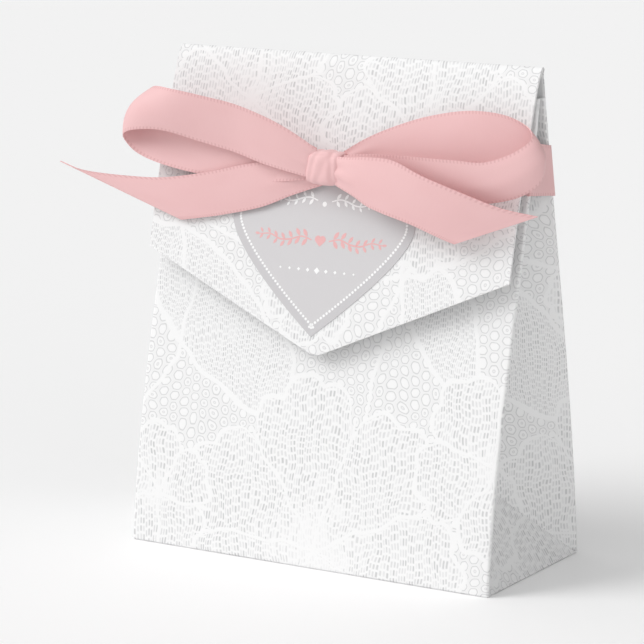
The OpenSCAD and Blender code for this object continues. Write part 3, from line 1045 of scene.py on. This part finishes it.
LOOP_RIGHT = [
    ((RIGHT_X - 1, -11.4, 81.6), (RIGHT_X - 1, -11.4, 76.8), 0.3),
    ((9.5, -12.4, 82.6), (9.5, -12.4, 75), 0.3), ((17, -13.6, 83), (17.6, -12.8, 73.8), 0.3),
    ((24, -14.3, 83.1), (25.4, -13, 73.9), 0.3), ((31, -14.8, 83.2), (32.6, -12.9, 74.7), 0.4),
    ((36.6, -14.6, 83.2), (38.6, -12.6, 75.5), 0.6), ((41.4, -13.9, 84.7), (43.4, -12.3, 76.9), 0.9),
    ((44.4, -12.4, 86.6), (46.4, -11.6, 78.8), 1.2), ((45, -10.6, 88.1), (47.3, -10.2, 80.9), 1.4),
    ((43, -8.8, 89.8), (45.4, -8.8, 81.8), 0.9), ((37.4, -7.6, 91.5), (40.5, -8.4, 81.8), 0.3),
    ((29.6, -7, 91.7), (31, -8.2, 81.6), -0.3), ((20.6, -7, 90), (21.5, -8.6, 80.4), -0.3),
    ((13, -7.8, 87.4), (12.8, -9.2, 78.6), -0.3), ((7.8, -8.8, 85), (7.6, -9.6, 77.8), -0.2),
    ((RIGHT_X - 1, -9.8, 82.2), (RIGHT_X - 1, -10, 77), -0.2)]
TAIL_LEFT = [
    ((LEFT_X + 1, -9.4, 79.4), (LEFT_X + 3, -9.4, 75.6), 0.3),
    ((-10, -10.2, 79.6), (-8.2, -10, 72.8), 0.5), ((-18, -11.1, 78.4), (-15.2, -10.5, 69.9), 0.3),
    ((-27, -11.8, 76.2), (-23.5, -11, 67.8), 0.2), ((-37, -12.2, 74.4), (-28.6, -11.4, 66.8), 0.2),
    ((-46, -12.4, 74), (-31.4, -11.5, 66.3), 0.2), ((-57, -12.4, 74.3), (-33, -11.5, 66), 0.1),
    ((-63.2, -12.2, 75.7), (-33.7, -11.5, 65.9), 0)]
TAIL_RIGHT = [
    ((RIGHT_X - 1, -12.6, 81.6), (RIGHT_X - 1, -12.4, 75.9), 0.4),
    ((7.5, -13.9, 81.9), (7.6, -13.4, 74.4), 0.7), ((11.5, -15, 82.4), (11.2, -14.2, 72.8), 0.5),
    ((18, -16.2, 82.4), (15.4, -14.9, 71.7), 0.4), ((25, -16.9, 80), (21.3, -15.2, 70.3), 0.3),
    ((33.4, -16.6, 77.4), (26, -15, 68.7), 0.2), ((41, -15.4, 75), (28.8, -14.7, 67.7), 0.1),
    ((48.3, -14, 73.8), (30.8, -14.5, 67.1), 0)]


KNOT_LEAN = 0.1


def fold(at, where, width, depth):
    """A soft crease pressed into the knot."""
    return depth * math.exp(-((at - where) / width) ** 2)


def make_knot():
    """The ribbon wrapped once round the bow's middle, with flat face and soft sides."""
    width, deep, tall = knot_high - knot_low
    turns = np.linspace(0, 2 * math.pi, 65)[:-1]
    shares = np.sin(np.linspace(-1, 1, 41) * math.pi / 2)
    rows = []
    for share in shares:
        pinch = 1 - 0.36 * abs(share) ** 4
        row = []
        for a in turns:
            c, sn = math.cos(a), math.sin(a)
            crease = fold(share, -0.55 + 0.25 * sn, 0.16, 0.3)
            crease += fold(share, 0.6 - 0.15 * sn, 0.14, 0.3)
            crease += fold(share, 0.1 + 0.5 * sn, 0.25, 0.22)
            round_y = abs(c) ** 0.62 * math.copysign(1, c)
            round_z = abs(sn) ** 0.7 * math.copysign(1, sn)
            lip = fold(a, math.radians(52), 0.13, 0.3) * (1 - share ** 2)
            y = KNOT.y - (deep / 2 * pinch - crease - lip) * round_y
            z = KNOT.z + (tall / 2 * (0.6 + 0.4 * pinch) - crease * 0.5) * round_z
            row.append((KNOT.x + share * width / 2 + KNOT_LEAN * (z - KNOT.z), y, z))
        rows.append(row)
    points = np.array(rows).reshape(-1, 3)
    n = len(turns)
    faces = [[i * n + j, i * n + (j + 1) % n, (i + 1) * n + (j + 1) % n, (i + 1) * n + j]
             for i in range(len(rows) - 1) for j in range(n)]
    faces.append(list(range(n)))
    faces.append([(len(rows) - 1) * n + j for j in reversed(range(n))])
    marks = [(j / n * 24, share * 4.2, 1) for share in shares for j in range(n)]
    piece = new_mesh("bow_knot_satin", points, faces, SATIN, marks, crease=75)
    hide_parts("bow_knot")
    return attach(piece, "lid")


def make_bow():
    make_knot()
    for name, pairs, flip in (("bow_loop_left", LOOP_LEFT, -1), ("bow_loop_right", LOOP_RIGHT, 1)):
        ribbon_strip(f"{name}_satin", pairs, [name], flip)
    for name, pairs, flip in (("bow_tail_left", TAIL_LEFT, -1), ("bow_tail_right", TAIL_RIGHT, 1)):
        ribbon_strip(f"{name}_satin", pairs, [name], flip)


# ---------------------------------------------------------------- stage


def make_sky(scene):
    """Soft daylight all round, brightest above the front left."""
    world = bpy.data.worlds.new("daylight")
    scene.world = world
    world.use_nodes = True
    tree = world.node_tree
    sky = tree.nodes["Background"]
    sky.inputs[0].default_value = (1, 1, 1, 1)
    direction = tree.nodes.new("ShaderNodeTexCoord")
    toward = tree.nodes.new("ShaderNodeVectorMath")
    toward.operation = "DOT_PRODUCT"
    toward.inputs[1].default_value = Vector(SKY_TOWARD).normalized()
    strength = tree.nodes.new("ShaderNodeMapRange")
    strength.interpolation_type = "SMOOTHSTEP"
    for socket, number in zip(strength.inputs[1:5], (-0.4, 1.0, SKY_DARK, SKY_BRIGHT)):
        socket.default_value = number
    tree.links.new(direction.outputs["Generated"], toward.inputs[0])
    tree.links.new(toward.outputs["Value"], strength.inputs[0])
    tree.links.new(strength.outputs[0], sky.inputs[1])


SKY_DARK = 0.1
SKY_BRIGHT = 0.85
SKY_TOWARD = (-0.5, -0.4, 0.75)

# Each lamp: strength, width in degrees and the direction it shines along
LAMPS = {"key": (1.34, 34, (0.62, 0.55, -0.65)), "fill": (0.65, 60, (-0.92, 0.3, -0.22))}
FLOOR_HALF = 3000


def make_sun(name, energy, width, direction):
    """A distant lamp as wide as an angle, shining along a direction."""
    light = bpy.data.lights.new(name, "SUN")
    light.energy = energy
    light.angle = math.radians(width)
    lamp = bpy.data.objects.new(name, light)
    lamp.rotation_euler = Vector(direction).to_track_quat("-Z", "Y").to_euler()
    bpy.context.scene.collection.objects.link(lamp)


def make_stage():
    """Pale floor, soft daylight, a wide key light from the front left and a weak low
    fill from the right."""
    scene = bpy.context.scene
    scene.view_settings.view_transform = "Standard"
    corners_round = [(x * FLOOR_HALF, y * FLOOR_HALF, 0) for x, y in ((-1, -1), (1, -1), (1, 1), (-1, 1))]
    floor = new_mesh("floor", corners_round, [[0, 1, 2, 3]], stage_white())
    make_sky(scene)
    for name, (energy, width, direction) in LAMPS.items():
        make_sun(name, energy, width, direction)


def stage_white():
    s = Shader("stage_white")
    s.set(Base_Color=(0.96, 0.96, 0.96, 1), Roughness=0.9)
    s.surface.inputs["Specular IOR Level"].default_value = 0.0
    return s.material


# Where the camera stands, round from the front and up from level, how far off, and the
# point it looks at
AZIMUTH = math.radians(31.35)
ELEVATION = math.radians(11.28)
CAMERA_OFF = 617.9
LOOK_AT = Vector((-7.5, 0, 45.6))


def make_camera():
    """Seen from the front right, a little above."""
    level = math.cos(ELEVATION)
    back = Vector((math.sin(AZIMUTH) * level, -math.cos(AZIMUTH) * level, math.sin(ELEVATION)))
    camera = bpy.data.cameras.new("camera")
    camera.sensor_width = 36
    camera.lens = 171.2
    camera.clip_start = 0.01
    camera.clip_end = 20
    eye = bpy.data.objects.new("camera", camera)
    eye.location = (LOOK_AT + back * CAMERA_OFF) * MM
    eye.rotation_euler = (-back).to_track_quat("-Z", "Y").to_euler()
    bpy.context.scene.collection.objects.link(eye)
    bpy.context.scene.camera = eye


make_camera()
make_stage()
for node in ("base_panel", "base_glue_flap", "side_glue_tab"):
    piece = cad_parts[node]
    piece.data.materials.clear()
    piece.data.materials.append(PLAIN)
make_front()
make_back_and_flap()
for side in (-1, 1):
    make_gusset_foot(side)
    make_gusset_hem(side)
    for toward in (-1, 1):
        make_gusset_half(side, toward)
make_label()
make_prints()
make_ribbon_back()
for side in (-1, 1):
    make_ribbon_side(side)
    make_band(side)
make_bow()
